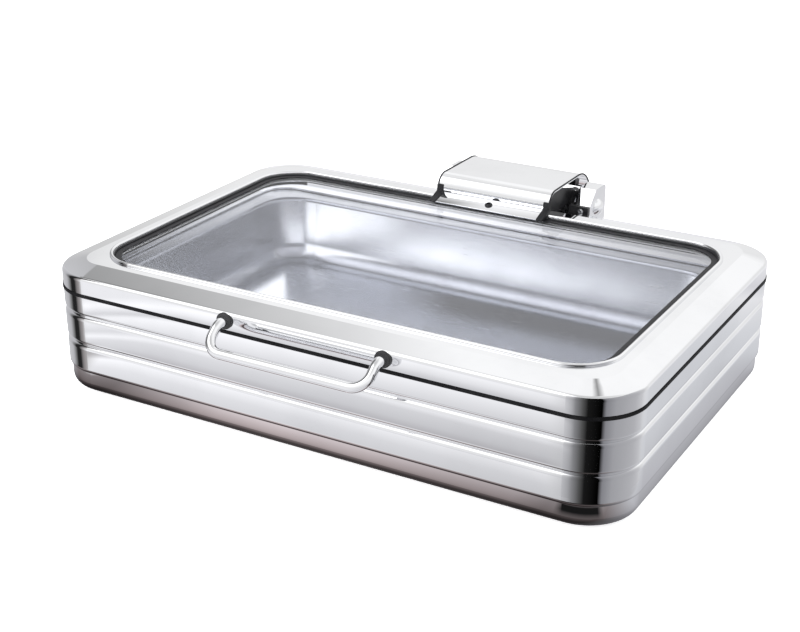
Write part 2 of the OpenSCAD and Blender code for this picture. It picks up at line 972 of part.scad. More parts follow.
module leaf_backing() {
  color(dull_steel)
    difference() {
      rail_strip(
        leaf_w, leaf_front_y + backing_in, leaf_rear_y,
        -(lid_t + backing_t) / cos(bevel_a) - seat, -lid_t / cos(bevel_a) - seat
      );
      leaf_fixings()
        translate([0, 0, -lid_t - backing_t - cut])
          cylinder(r = leaf_screw_r + seat, h = lid_t + backing_t + cut);
    }
}

module leaf_screws() {
  head_at = -lid_t - backing_t - 2 * seat;
  color(dull_steel)
    leaf_fixings() {
      translate([0, 0, head_at - leaf_head_t])
        cylinder(r = leaf_head_r, h = leaf_head_t);
      translate([0, 0, head_at])
        cylinder(r = leaf_screw_r, h = leaf_t - head_at);
    }
}

module hinge_bushes() {
  color(satin)
    both_sides()
      difference() {
        union() {
          on_pin(arm_in, arm_out, bush_r);
          on_pin(arm_in - bush_flange_t, arm_in, bush_flange_r);
        }
        on_pin(arm_in - bush_flange_t - cut, arm_out + cut, pin_r + running_fit);
      }
}

// The hood's section filled to its inside, moved in by t, above a given level
module hood_fill(t, low) {
  intersection() {
    translate([hood_front_y, low])
      square([pin_y + hood_r - hood_front_y, hood_top - low]);
    union() {
      translate([pin_y, pin_z])
        circle(hood_r - t);
      translate([hood_front_y + hood_nose_r, low])
        square([pin_y - hood_front_y - hood_nose_r, hood_top - t - low]);
      translate([hood_front_y + hood_nose_r, hood_top - hood_nose_r])
        circle(hood_nose_r - t);
      translate([hood_front_y + t, low])
        square([hood_nose_r - t, hood_top - hood_nose_r - low]);
    }
  }
}

// Bent cover from the window's rear edge back over the pin, open at its ends and below
module hinge_hood() {
  color(polished)
    across(-hood_in, hood_in)
      difference() {
        hood_fill(0, land_z);
        hood_fill(hood_t, land_z - cut);
      }
}

// Plates in the hood's ends that fall to an eye round each damper, cut away above the rail
module hood_end_covers() {
  over_rail = 0.2;
  rail_end = rear_y - lid_edge_r;
  color(black_plastic)
    both_sides()
      across(hood_in - cover_inset - cover_t, hood_in - cover_inset)
        difference() {
          union() {
            intersection() {
              hood_fill(hood_t + cover_gap, rail_z(rail_end));
              polygon([
                [hood_front_y, rail_z(rail_end)],
                [pin_y, rail_z(rail_end)],
                [pin_y, pin_z + eye_r - bite],
                [arm_top_y, hood_top],
                [hood_front_y, hood_top]
              ]);
            }
            translate([pin_y, pin_z])
              circle(eye_r);
          }
          translate([pin_y, pin_z])
            circle(damper_r + eye_gap);
          polygon([
            [hood_front_y - cut, rail_z(rail_end) - cut],
            [rail_end, rail_z(rail_end) - cut],
            [rail_end, rail_z(rail_end) + over_rail],
            [rear_y - bevel_w, land_z + over_rail],
            [hood_front_y - cut, land_z + over_rail]
          ]);
        }
}

water_pan();
rim_frame();
heat_spreader();
induction_plate();
hinge_bracket();
bracket_studs();
bracket_nuts();
hinge_pin();
pin_caps();
damper_bodies();
damper_clamps();
stop_buffers();
food_pan();
lid_frame();
lid_liner();
glass_panel();
glass_gasket();
lid_buffers();
handle();
handle_ferrules();
handle_stiffener();
handle_washers();
handle_screws();
hinge_leaf();
leaf_backing();
leaf_screws();
hinge_bushes();
damper_rotors();
hinge_hood();
hood_end_covers();
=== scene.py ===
import json
import math

import bmesh
import bpy
from mathutils import Euler, Matrix, Vector


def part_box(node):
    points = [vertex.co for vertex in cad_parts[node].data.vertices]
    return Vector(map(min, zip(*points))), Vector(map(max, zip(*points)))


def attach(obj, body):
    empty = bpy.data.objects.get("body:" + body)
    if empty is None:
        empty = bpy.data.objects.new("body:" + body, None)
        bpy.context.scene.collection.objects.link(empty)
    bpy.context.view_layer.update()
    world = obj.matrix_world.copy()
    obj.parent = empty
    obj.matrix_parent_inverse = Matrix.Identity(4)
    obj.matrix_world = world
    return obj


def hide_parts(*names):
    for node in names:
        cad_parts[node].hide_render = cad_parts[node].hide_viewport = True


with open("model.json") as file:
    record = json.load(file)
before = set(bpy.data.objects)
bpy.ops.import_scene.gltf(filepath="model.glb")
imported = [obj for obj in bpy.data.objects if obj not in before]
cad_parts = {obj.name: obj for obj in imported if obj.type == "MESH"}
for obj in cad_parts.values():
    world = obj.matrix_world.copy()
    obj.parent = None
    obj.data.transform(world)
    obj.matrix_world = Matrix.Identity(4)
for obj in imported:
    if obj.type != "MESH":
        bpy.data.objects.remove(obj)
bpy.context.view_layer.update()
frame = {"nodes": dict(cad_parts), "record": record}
nodes = frame["nodes"]
print("frame loaded:", len(nodes), "nodes")


# shader maths: a wire is a socket that can be added, multiplied and so on
class Wire:
    def __init__(self, tree, socket):
        self.tree = tree
        self.socket = socket

    def node(self, kind, settings=None, inputs=None, output=0):
        made = self.tree.nodes.new(kind)
        for name, value in (settings or {}).items():
            if name == "stops":
                ramp = made.color_ramp
                while len(ramp.elements) < len(value):
                    ramp.elements.new(0.5)
                for element, (place, colour) in zip(ramp.elements, value):
                    element.position = place
                    element.color = colour
            else:
                setattr(made, name, value)
        for name, value in (inputs or {}).items():
            if isinstance(value, Wire):
                self.tree.links.new(value.socket, made.inputs[name])
            else:
                made.inputs[name].default_value = value
        return Wire(self.tree, made.outputs[output])

    def math(self, operation, a, b=0.0):
        return self.node("ShaderNodeMath", {"operation": operation}, {0: a, 1: b})

    def __add__(self, other):
        return self.math("ADD", self, other)

    def __sub__(self, other):
        return self.math("SUBTRACT", self, other)

    def __rsub__(self, other):
        return self.math("SUBTRACT", other, self)

    def __mul__(self, other):
        return self.math("MULTIPLY", self, other)

    def __pow__(self, other):
        return self.math("POWER", self, other)

    def __abs__(self):
        return self.math("ABSOLUTE", self)

    __radd__ = __add__
    __rmul__ = __mul__

    def axis(self, name):
        return self.node("ShaderNodeSeparateXYZ", {}, {0: self}, name)

    def flat(self):
        return self.node("ShaderNodeVectorMath", {"operation": "MULTIPLY"}, {0: self, 1: (1, 1, 0)})

    def along(self, way):
        return self.node("ShaderNodeVectorMath", {"operation": "DOT_PRODUCT"}, {0: self, 1: way}, "Value")

    def stretched(self, scale):
        return self.node("ShaderNodeMapping", {}, {"Vector": self, "Scale": scale})

    def noise(self, size, detail=3.0):
        return self.node("ShaderNodeTexNoise", {}, {"Vector": self, "Scale": 1 / size, "Detail": detail})

    def spread(self, low, high, toLow=0.0, toHigh=1.0):
        ends = {"Value": self, "From Min": low, "From Max": high, "To Min": toLow, "To Max": toHigh}
        return self.node("ShaderNodeMapRange", {"clamp": True}, ends)

    def ramp(self, stops, output="Color"):
        return self.node("ShaderNodeValToRGB", {"stops": stops}, {0: self}, output)

    def blend(self, a, b):
        return self.node("ShaderNodeMix", {"data_type": "RGBA"}, {0: self, 6: a, 7: b}, 2)

    def bump(self, strength, depth):
        return self.node("ShaderNodeBump", {}, {"Height": self, "Strength": strength, "Distance": depth})

    def to(self, shader, name):
        self.tree.links.new(self.socket, shader.inputs[name])


def newFinish(name, metallic=0.0):
    finish = bpy.data.materials.new(name)
    finish.use_nodes = True
    tree = finish.node_tree
    shader = tree.nodes["Principled BSDF"]
    shader.inputs["Metallic"].default_value = metallic
    place = tree.nodes.new("ShaderNodeTexCoord").outputs["Object"]
    return finish, shader, Wire(tree, place)


def rgb(r, g, b):
    return (r, g, b, 1.0)


# polished stainless: a mirror with faint smudges, hairline polish marks and a slow wave
polish = {
    "tint": rgb(0.90, 0.905, 0.92), "worn": rgb(0.85, 0.855, 0.87), "smooth": 0.018,
    "smudgeSize": 0.06, "smudgeFrom": (0.45, 0.75), "smudgeRough": 0.05,
    "hairSize": 0.0007, "hairStretch": (0.25, 1, 1), "hairFrom": (0.55, 0.8), "hairRough": 0.02,
    "waveSize": 0.09, "waveBump": (0.12, 0.0012),
}


def polishedSteel():
    finish, shader, at = newFinish("polishedSteel", metallic=1.0)
    smudge = at.noise(polish["smudgeSize"], detail=4.0).spread(*polish["smudgeFrom"])
    hair = at.stretched(polish["hairStretch"]).noise(polish["hairSize"], detail=2.0)
    hair = hair.spread(*polish["hairFrom"])
    rough = polish["smooth"] + smudge * polish["smudgeRough"] + hair * polish["hairRough"]
    smudge.blend(polish["tint"], polish["worn"]).to(shader, "Base Color")
    rough.to(shader, "Roughness")
    at.noise(polish["waveSize"], detail=1.0).bump(*polish["waveBump"]).to(shader, "Normal")
    return finish


# satin drawn steel: the food pan and the liner
satin = {
    "tint": rgb(0.59, 0.605, 0.635), "dark": rgb(0.53, 0.545, 0.575),
    "cloudSize": 0.05, "cloudFrom": (0.35, 0.7), "cloudRough": 0.05,
    "grainSize": 0.0005, "grainStretch": (0.03, 1, 1), "grainFrom": (0.3, 0.7), "grainRough": (0.2, 0.25),
    "grainBump": (0.06, 0.00003),
}


def satinSteel():
    finish, shader, at = newFinish("satinSteel", metallic=1.0)
    grain = at.stretched(satin["grainStretch"]).noise(satin["grainSize"])
    cloud = at.noise(satin["cloudSize"], detail=4.0)
    rough = grain.spread(*satin["grainFrom"], *satin["grainRough"]) + cloud * satin["cloudRough"]
    cloud.spread(*satin["cloudFrom"]).blend(satin["tint"], satin["dark"]).to(shader, "Base Color")
    rough.to(shader, "Roughness")
    grain.bump(*satin["grainBump"]).to(shader, "Normal")
    return finish


# rolled sheet and turned fittings that are left plain
plain = {
    "tint": rgb(0.56, 0.57, 0.59), "dark": rgb(0.44, 0.45, 0.47),
    "cloudSize": 0.012, "cloudFrom": (0.35, 0.7), "roughFrom": (0.3, 0.7), "rough": (0.28, 0.46),
    "grainSize": 0.0006, "grainBump": (0.15, 0.00005),
}


def plainSteel():
    finish, shader, at = newFinish("plainSteel", metallic=1.0)
    cloud = at.noise(plain["cloudSize"], detail=5.0)
    cloud.spread(*plain["cloudFrom"]).blend(plain["tint"], plain["dark"]).to(shader, "Base Color")
    cloud.spread(*plain["roughFrom"], *plain["rough"]).to(shader, "Roughness")
    at.noise(plain["grainSize"], detail=2.0).bump(*plain["grainBump"]).to(shader, "Normal")
    return finish


# the face it stands on is spun, so its marks run in rings
spun = {
    "tint": rgb(0.60, 0.61, 0.63), "dark": rgb(0.47, 0.48, 0.50), "toneFrom": (0.35, 0.65),
    "cloudSize": 0.03, "cloudShare": 0.4, "ringShare": 0.6,
    "ringSize": 0.0012, "ringFrom": (0.3, 0.7), "ringRough": (0.22, 0.42), "ringBump": (0.3, 0.00006),
}


def spunSteel():
    finish, shader, at = newFinish("spunSteel", metallic=1.0)
    reach = at.node("ShaderNodeVectorMath", {"operation": "LENGTH"}, {0: at.flat()}, "Value")
    ring = at.node("ShaderNodeCombineXYZ", {}, {0: reach}).noise(spun["ringSize"])
    cloud = at.noise(spun["cloudSize"], detail=4.0)
    tone = (ring * spun["ringShare"] + cloud * spun["cloudShare"]).spread(*spun["toneFrom"])
    tone.blend(spun["tint"], spun["dark"]).to(shader, "Base Color")
    ring.spread(*spun["ringFrom"], *spun["ringRough"]).to(shader, "Roughness")
    ring.bump(*spun["ringBump"]).to(shader, "Normal")
    return finish


# brushed aluminium: the heat spreader
brushed = {
    "tint": rgb(0.78, 0.79, 0.80), "dark": rgb(0.68, 0.69, 0.70),
    "grainSize": 0.0008, "grainStretch": (0.04, 1, 1), "grainFrom": (0.3, 0.7), "grainRough": (0.3, 0.42),
}


def brushedAluminium():
    finish, shader, at = newFinish("brushedAluminium", metallic=1.0)
    grain = at.stretched(brushed["grainStretch"]).noise(brushed["grainSize"])
    grain.spread(*brushed["grainFrom"]).blend(brushed["tint"], brushed["dark"]).to(shader, "Base Color")
    grain.spread(*brushed["grainFrom"], *brushed["grainRough"]).to(shader, "Roughness")
    return finish


# rubber, mouldings, a coated casting and the seam's painted shade, all black, told apart by gloss and grain
blacks = {
    "cloudSize": 0.02, "bloomFrom": (0.4, 0.7), "roughFrom": (0.3, 0.7), "grainStrength": 0.3,
    "silicone": {"tint": rgb(0.012, 0.012, 0.014), "bloom": rgb(0.03, 0.03, 0.034), "rough": (0.4, 0.6),
                 "grainSize": 0.0005, "grainDepth": 0.00004, "shine": 0.25},
    # the seam's painted shade: blacker and duller than the silicone
    "seamShadeBlack": {"tint": rgb(0.004, 0.004, 0.005), "bloom": rgb(0.01, 0.01, 0.011), "rough": (0.45, 0.65),
                   "grainSize": 0.0005, "grainDepth": 0.00004, "shine": 0.1},
    "mouldedPlastic": {"tint": rgb(0.014, 0.014, 0.016), "bloom": rgb(0.028, 0.028, 0.03),
                       "rough": (0.3, 0.5), "grainSize": 0.0009, "grainDepth": 0.00008, "shine": 0.4},
    "coatedCasting": {"tint": rgb(0.016, 0.016, 0.018), "bloom": rgb(0.04, 0.04, 0.042),
                      "rough": (0.32, 0.5), "grainSize": 0.0022, "grainDepth": 0.00012, "shine": 0.5},
}


def blackFinish(name):
    spec = blacks[name]
    finish, shader, at = newFinish(name)
    cloud = at.noise(blacks["cloudSize"], detail=4.0)
    grain = at.noise(spec["grainSize"], detail=2.0)
    cloud.spread(*blacks["bloomFrom"]).blend(spec["tint"], spec["bloom"]).to(shader, "Base Color")
    cloud.spread(*blacks["roughFrom"], *spec["rough"]).to(shader, "Roughness")
    grain.bump(blacks["grainStrength"], spec["grainDepth"]).to(shader, "Normal")
    shader.inputs["Specular IOR Level"].default_value = spec["shine"]
    return finish


# pale moulding: the hinge's bushes, and the strip under the glass that paints light there
bush = {"tint": rgb(0.72, 0.72, 0.69), "dark": rgb(0.62, 0.62, 0.59), "cloudSize": 0.01,
        "roughFrom": (0.3, 0.7), "rough": (0.35, 0.5)}


def bushPlastic():
    finish, shader, at = newFinish("bushPlastic")
    cloud = at.noise(bush["cloudSize"])
    cloud.blend(bush["tint"], bush["dark"]).to(shader, "Base Color")
    cloud.spread(*bush["roughFrom"], *bush["rough"]).to(shader, "Roughness")
    return finish


# clear glass: seen through straight on, a mirror at a glancing angle, with a faint film
glass = {
    "through": rgb(0.93, 0.935, 0.955), "mirror": rgb(0.6, 0.6, 0.62), "filmed": rgb(0.57, 0.57, 0.59),
    "gloss": 0.04, "glossPower": 5, "filmSize": 0.09, "filmFrom": (0.45, 0.75), "filmRough": 0.05,
}


def clearGlass():
    finish, shader, at = newFinish("clearGlass", metallic=1.0)
    tree = finish.node_tree
    film = at.noise(glass["filmSize"]).spread(*glass["filmFrom"])
    film.blend(glass["mirror"], glass["filmed"]).to(shader, "Base Color")
    (film * glass["filmRough"]).to(shader, "Roughness")
    through = at.node("ShaderNodeBsdfTransparent", {}, {"Color": glass["through"]})
    facing = at.node("ShaderNodeLayerWeight", {}, {"Blend": 0.5}, "Facing")
    gloss = facing ** glass["glossPower"] * (1 - glass["gloss"]) + glass["gloss"]
    mix = at.node("ShaderNodeMixShader", {}, {0: gloss, 1: through, 2: Wire(tree, shader.outputs[0])})
    mix.to(tree.nodes["Material Output"], "Surface")
    return finish


finishes = {
    "polished_steel": polishedSteel(),
    "satin_steel": satinSteel(),
    "plain_steel": plainSteel(),
    "aluminium": brushedAluminium(),
    "glass": clearGlass(),
    "silicone": blackFinish("silicone"),
    "black_plastic": blackFinish("mouldedPlastic"),
    "bush_plastic": bushPlastic(),
    "black_casting": blackFinish("coatedCasting"),
    "spunFace": spunSteel(),
    "seamShadeBlack": blackFinish("seamShadeBlack"),
}

for part in frame["record"]["subparts"]:
    for slot in nodes[part["node"]].material_slots:
        slot.material = finishes[part["material_slot"]]
for slot in nodes["induction_plate"].material_slots:
    slot.material = finishes["spunFace"]
print("finishes:", len(finishes))


# new pieces are made at their place in the frame, with sizes in millimetres
mm = 0.001


def meshObject(name, shape, finish):
    mesh = bpy.data.meshes.new(name)
    shape.to_mesh(mesh)
    shape.free()
    mesh.materials.append(finish)
    made = bpy.data.objects.new(name, mesh)
    bpy.context.scene.collection.objects.link(made)
    return made


def newPiece(name, shape, body, slot, sharp=35, finish=None):
    bmesh.ops.remove_doubles(shape, verts=shape.verts, dist=0.001 * mm)
    bmesh.ops.recalc_face_normals(shape, faces=shape.faces)
    for face in shape.faces:
        face.smooth = True
    made = meshObject(name, shape, finish or finishes[slot])
    made.data.set_sharp_from_angle(angle=math.radians(sharp))
    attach(made, body)
    return made


def only(kind, geom):
    return [item for item in geom if isinstance(item, kind)]


def borderEdges(shape):
    return [edge for edge in shape.edges if edge.is_boundary]


# a turned form along +Z: each level is a radius, a height, its sides if it isn't round, and its chamfer
def turned(levels, segments=48):
    shape = bmesh.new()
    bmesh.ops.create_circle(shape, cap_ends=True, radius=mm, segments=segments)
    verts = shape.verts[:]
    for index, (radius, height, *more) in enumerate(levels):
        if index:
            grown = bmesh.ops.extrude_edge_only(shape, edges=borderEdges(shape))["geom"]
            verts = only(bmesh.types.BMVert, grown)
        part = math.tau / more[0] if more else 0
        for vert in verts:
            turn = math.atan2(vert.co.y, vert.co.x)
            reach = radius / math.cos(turn % part - part / 2) if part else radius
            drop = (reach - radius) * more[1] if len(more) > 1 else 0
            vert.co = Vector((math.cos(turn) * reach, math.sin(turn) * reach, height - drop)) * mm
    bmesh.ops.edgeloop_fill(shape, edges=borderEdges(shape))
    return shape


def joined(shapes):
    whole = bmesh.new()
    mesh = bpy.data.meshes.new("join")
    for shape in shapes:
        shape.to_mesh(mesh)
        shape.free()
        whole.from_mesh(mesh)
    bpy.data.meshes.remove(mesh)
    return whole


def aboutX(angle):
    return Matrix.Rotation(angle, 4, "X")


def copies(make, places, turn):
    shapes = []
    for place in places:
        shape = make()
        bmesh.ops.transform(shape, matrix=Matrix.Translation(Vector(place) * mm) @ turn, verts=shape.verts)
        shapes.append(shape)
    return joined(shapes)


def bothSides(places):
    return [(side * x, y, z) for side in (-1, 1) for x, y, z in places]


# fixings of the hinge bracket: threaded studs and flange nuts
fixings = {
    "x": 45, "rows": (37.25, 65.75),
    "length": 11, "radius": 2.5, "root": 2.1, "pitch": 0.8, "threads": 6,
    "endRings": (0.6, 0.85), "endChamfer": 0.25, "firstCrest": 0.65,
    "sides": 6, "flat": 4.0, "thick": 4.0, "leadWide": 0.45, "leadDeep": 0.5,
    "face": 0.93, "crownDrop": 0.15, "crownSlope": 0.58,
    "flange": 5.3, "flangeRound": 0.5, "flangeLevels": (1.3, 1.0, 0.6),
}


def stud():
    radius, root, length, pitch = (fixings[k] for k in ("radius", "root", "length", "pitch"))
    levels = [(root * share, length) for share in fixings["endRings"]]
    levels.append((root, length - fixings["endChamfer"]))
    for k in range(fixings["threads"]):
        crest = length - fixings["firstCrest"] - k * pitch
        levels += [(radius, crest), (root, crest - pitch / 2)]
    return turned(levels + [(radius, crest - pitch), (radius, 0)], segments=32)


def flangeNut():
    bore, sides, flat, thick, flange = (fixings[k] for k in ("radius", "sides", "flat", "thick", "flange"))
    neck, shoulder, rim = fixings["flangeLevels"]
    return turned([(bore, thick - fixings["leadDeep"]), (bore + fixings["leadWide"], thick),
                   (flat * fixings["face"], thick),
                   (flat, thick - fixings["crownDrop"], sides, fixings["crownSlope"]), (flat, neck, sides),
                   (flange - fixings["flangeRound"], shoulder), (flange, rim), (flange, 0)])


def bracketFixings():
    for name, node, make in (("bracketStuds", "bracket_studs", stud),
                             ("bracketNuts", "bracket_nuts", flangeNut)):
        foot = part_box(node)[0][1] / mm
        places = bothSides([(fixings["x"], foot, z) for z in fixings["rows"]])
        shape = copies(make, places, aboutX(math.radians(-90)))
        piece = newPiece(name, shape, "base", "plain_steel", sharp=25)
        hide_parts(node)


# socket screws: on the damper clamps, and one in the hood's lip
screws = {
    "radius": 3.0, "height": 1.65, "dome": (28, 50, 70, 90), "domeFoot": 0.3,
    "sides": 6, "socket": 1.25, "depth": 1.0, "leadWide": 1.3, "leadDeep": 0.05,
    "clamp": [(76, 203, 106.5), (76, 203, 116.5)], "hoodScale": 1.3,
}


def buttonScrew(scale=1.0):
    radius, height, socket, depth = (screws[k] * scale for k in ("radius", "height", "socket", "depth"))
    foot, sides = screws["domeFoot"], screws["sides"]
    levels = [(socket, height - depth, sides), (socket, height - screws["leadDeep"], sides),
              (socket * screws["leadWide"], height)]
    for turn in screws["dome"]:
        bend = math.radians(turn)
        levels.append((radius * math.sin(bend), height * (foot + (1 - foot) * math.cos(bend))))
    return turned(levels + [(radius, 0)])


def clampScrews():
    shape = copies(buttonScrew, bothSides(screws["clamp"]), aboutX(math.radians(90)))
    newPiece("clampScrews", shape, "base", "plain_steel", sharp=30)


def sheet(long, deep):
    shape = bmesh.new()
    bmesh.ops.create_grid(shape, x_segments=1, y_segments=1, size=0.5)
    bmesh.ops.scale(shape, verts=shape.verts, vec=(long, deep, 1))
    return shape


def roundedSheet(long, deep, corner):
    shape = sheet(long, deep)
    bmesh.ops.bevel(shape, geom=shape.verts[:], affect="VERTICES", offset=corner, segments=16, profile=0.5,
                    material=-1)
    return shape


# a flat shape grown into a solid, its edges rounded
def thickened(shape, move, edge, sharp=40):
    grown = bmesh.ops.extrude_face_region(shape, geom=shape.faces[:])["geom"]
    bmesh.ops.translate(shape, verts=only(bmesh.types.BMVert, grown), vec=move)
    bmesh.ops.recalc_face_normals(shape, faces=shape.faces)
    turns = [item for item in shape.edges if item.calc_face_angle(0) > math.radians(sharp)]
    bmesh.ops.bevel(shape, geom=turns, affect="EDGES", offset=edge, segments=3, profile=0.5, material=-1)
    return shape


# a flat ring that follows a node's outline, inset from it, with heights from the node's underside
def ringAround(node, corner, spec):
    low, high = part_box(node)
    inset = spec["inset"] * mm
    long, deep = (high[k] - low[k] - 2 * inset for k in (0, 1))
    shape = roundedSheet(long, deep, corner * mm - inset)
    middle = shape.faces[:]
    bmesh.ops.inset_region(shape, faces=middle, thickness=spec["wide"] * mm, use_boundary=True,
                           use_even_offset=True)
    bmesh.ops.delete(shape, geom=middle, context="FACES")
    place = ((low[0] + high[0]) / 2, (low[1] + high[1]) / 2, low[2] + spec["low"] * mm)
    bmesh.ops.translate(shape, verts=shape.verts, vec=place)
    return thickened(shape, (0, 0, (spec["high"] - spec["low"]) * mm), spec["edge"] * mm)


# black strips in the seam, painted shade just under the lid's turned-in edge, and a lip of it that hangs
# over the seam
seamShade = {
    "corner": 48,
    "seamShadeStrip": {"inset": 1.2, "wide": 2.4, "low": -2.25, "high": 0.0, "edge": 0.4},
    "seamShadeLip": {"inset": -0.6, "wide": 0.5, "low": -3.0, "high": 0.2, "edge": 0.2},
}


def seamShadeStrip():
    for name in ("seamShadeStrip", "seamShadeLip"):
        shape = ringAround("lid_frame", seamShade["corner"], seamShade[name])
        newPiece(name, shape, "lid", "silicone", finish=finishes["seamShadeBlack"])


# round the glass: a thin black border that is thicker under the frame, and below it a pale strip, painted
# light where the ledge under the glass shows bright
gasket = {
    "corner": 45,
    "glassBorder": [{"inset": -1.5, "wide": 7.5, "low": 4.0, "high": 5.5, "edge": 0.2},
                    {"inset": 5.5, "wide": 6.5, "low": 4.0, "high": 4.6, "edge": 0.2}],
    "glassLightStrip": [{"inset": 0.05, "wide": 7.45, "low": -1.5, "high": -0.05, "edge": 0.3},
                  {"inset": -1.5, "wide": 1.5, "low": -1.5, "high": 4.0, "edge": 0.2}],
}


def glassGasket():
    for name, slot in (("glassBorder", "silicone"), ("glassLightStrip", "bush_plastic")):
        shape = joined([ringAround("glass_panel", gasket["corner"], spec) for spec in gasket[name]])
        newPiece(name, shape, "lid", slot)
    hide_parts("glass_gasket")


# the hood's dressing: a lip over the window's edge, rubber boots at its front corners, a bead round each end
hood = {
    "lipHalf": 57, "lipBack": (156.2, 129.4), "lipFront": (139.0, 123.95), "lipThick": 1.0, "lipEdge": 0.3,
    "bootFrom": 56, "bootTo": 63, "bootEdge": 0.7,
    "boot": [(158.6, 124.0), (138.4, 122.85), (138.4, 124.7), (154.4, 130.4), (155.2, 137.0),
             (158.6, 137.0)],
    "bead": 0.8, "nose": 14, "sweep": 73,
}


def flatFace(points):
    shape = bmesh.new()
    shape.faces.new([shape.verts.new(Vector(point) * mm) for point in points])
    return shape


def hoodLip():
    (backY, backZ), (frontY, frontZ) = hood["lipBack"], hood["lipFront"]
    half = hood["lipHalf"]
    shape = flatFace([(-half, frontY, frontZ), (half, frontY, frontZ),
                      (half, backY, backZ), (-half, backY, backZ)])
    down = Vector((0, backZ - frontZ, frontY - backY)).normalized() * hood["lipThick"] * mm
    newPiece("hoodLip", thickened(shape, down, hood["lipEdge"] * mm), "lid", "polished_steel")
    tilt = math.atan2(backZ - frontZ, backY - frontY)
    middle = (0, (backY + frontY) / 2, (backZ + frontZ) / 2)
    screw = copies(lambda: buttonScrew(screws["hoodScale"]), [middle], aboutX(tilt))
    newPiece("hoodScrew", screw, "lid", "black_plastic", sharp=30)


def hoodBoots():
    for name, side in (("hoodBootLeft", -1), ("hoodBootRight", 1)):
        shape = flatFace([(side * hood["bootFrom"], y, z) for y, z in hood["boot"]])
        move = (side * (hood["bootTo"] - hood["bootFrom"]) * mm, 0, 0)
        newPiece(name, thickened(shape, move, hood["bootEdge"] * mm), "lid", "silicone")


def stretchedRing(shape, ring, move):
    grown = bmesh.ops.extrude_edge_only(shape, edges=only(bmesh.types.BMEdge, ring))["geom"]
    verts = only(bmesh.types.BMVert, grown)
    bmesh.ops.translate(shape, verts=verts, vec=move)
    kept = set(verts)
    return verts + [edge for edge in borderEdges(shape) if kept.issuperset(edge.verts)]


def spunRing(shape, ring, centre, degrees):
    spin = bmesh.ops.spin(shape, geom=ring, cent=centre, axis=(1, 0, 0), angle=math.radians(degrees),
                          steps=14, use_merge=False)
    return only((bmesh.types.BMVert, bmesh.types.BMEdge), spin["geom_last"])


# each bead goes up the hood's front, round its nose, back along the top and down round the pin
def hoodBeads():
    hoodLow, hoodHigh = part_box("hinge_hood")
    pinLow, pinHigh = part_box("hinge_pin")
    pinY, pinZ = ((pinLow[k] + pinHigh[k]) / 2 for k in (1, 2))
    front, foot = hoodLow[1], hoodLow[2]
    noseY, noseZ = front + hood["nose"] * mm, hoodHigh[2] - hood["nose"] * mm
    for name, side in (("hoodBeadLeft", -1), ("hoodBeadRight", 1)):
        x = side * hoodHigh[0]
        shape = bmesh.new()
        bmesh.ops.create_circle(shape, cap_ends=False, radius=hood["bead"] * mm, segments=12)
        bmesh.ops.translate(shape, verts=shape.verts, vec=(x, front, foot))
        start = shape.edges[:]
        ring = shape.verts[:] + start
        ring = stretchedRing(shape, ring, (0, 0, noseZ - foot))
        ring = spunRing(shape, ring, (x, noseY, noseZ), -90)
        ring = stretchedRing(shape, ring, (0, pinY - noseY, 0))
        ring = spunRing(shape, ring, (x, pinY, pinZ), -hood["sweep"])
        for edges in (start, only(bmesh.types.BMEdge, ring)):
            bmesh.ops.edgeloop_fill(shape, edges=edges)
        newPiece(name, shape, "lid", "silicone", sharp=60)


bracketFixings()
clampScrews()
seamShadeStrip()
glassGasket()
hoodLip()
hoodBoots()
hoodBeads()
print("new pieces made")


# studio, with sizes in metres: pale floor, soft light all round, camera at the photograph's angle
rays = ("camera", "diffuse", "glossy", "transmission", "shadow")


def stagePiece(name, shape, finish, seenBy=("glossy",)):
    made = meshObject(name, shape, finish)
    for ray in rays:
        setattr(made, "visible_" + ray, ray in seenBy)


# a card that gives light and takes none
def lightOnly(shader):
    shader.inputs["Emission Strength"].default_value = 1.0
    shader.inputs["Base Color"].default_value = rgb(0, 0, 0)
    shader.inputs["Specular IOR Level"].default_value = 0.0


def inRadians(degrees):
    return [math.radians(angle) for angle in degrees]


def cosines(degrees):
    return [math.cos(angle) for angle in inRadians(degrees)]


# the way out from the dish, by degrees round from the front and degrees up
def wayOut(turn, rise=0.0):
    turn, rise = inRadians((turn, rise))
    return Vector((math.sin(turn) * math.cos(rise), -math.cos(turn) * math.cos(rise), math.sin(rise)))


# white paper under the dish, which the steel doesn't mirror
paper = {"size": 12.0, "tint": rgb(0.93, 0.93, 0.935), "shade": rgb(0.92, 0.92, 0.925), "cloudSize": 0.4,
         "rough": 0.7, "shine": 0.1, "glow": 0.7}


def floor():
    finish, shader, at = newFinish("floorPaper")
    at.noise(paper["cloudSize"], detail=2.0).blend(paper["tint"], paper["shade"]).to(shader, "Base Color")
    shader.inputs["Roughness"].default_value = paper["rough"]
    shader.inputs["Specular IOR Level"].default_value = paper["shine"]
    shader.inputs["Emission Color"].default_value = rgb(1, 1, 1)
    shader.inputs["Emission Strength"].default_value = paper["glow"]
    seenBy = [ray for ray in rays if ray != "glossy"]
    stagePiece("floor", sheet(paper["size"], paper["size"]), finish, seenBy)


# paper all round, seen by the camera alone, so that no sky shows behind the floor
backdrop = {"radius": 8.0, "tint": rgb(1, 1, 1), "shade": rgb(0.99, 0.99, 0.995), "cloudSize": 0.8}


def paperRound():
    finish, shader, at = newFinish("backdropPaper")
    tone = at.noise(backdrop["cloudSize"], detail=2.0).blend(backdrop["tint"], backdrop["shade"])
    tone.to(shader, "Emission Color")
    lightOnly(shader)
    shape = bmesh.new()
    bmesh.ops.create_uvsphere(shape, u_segments=48, v_segments=24, radius=backdrop["radius"])
    stagePiece("backdrop", shape, finish, ("camera",))


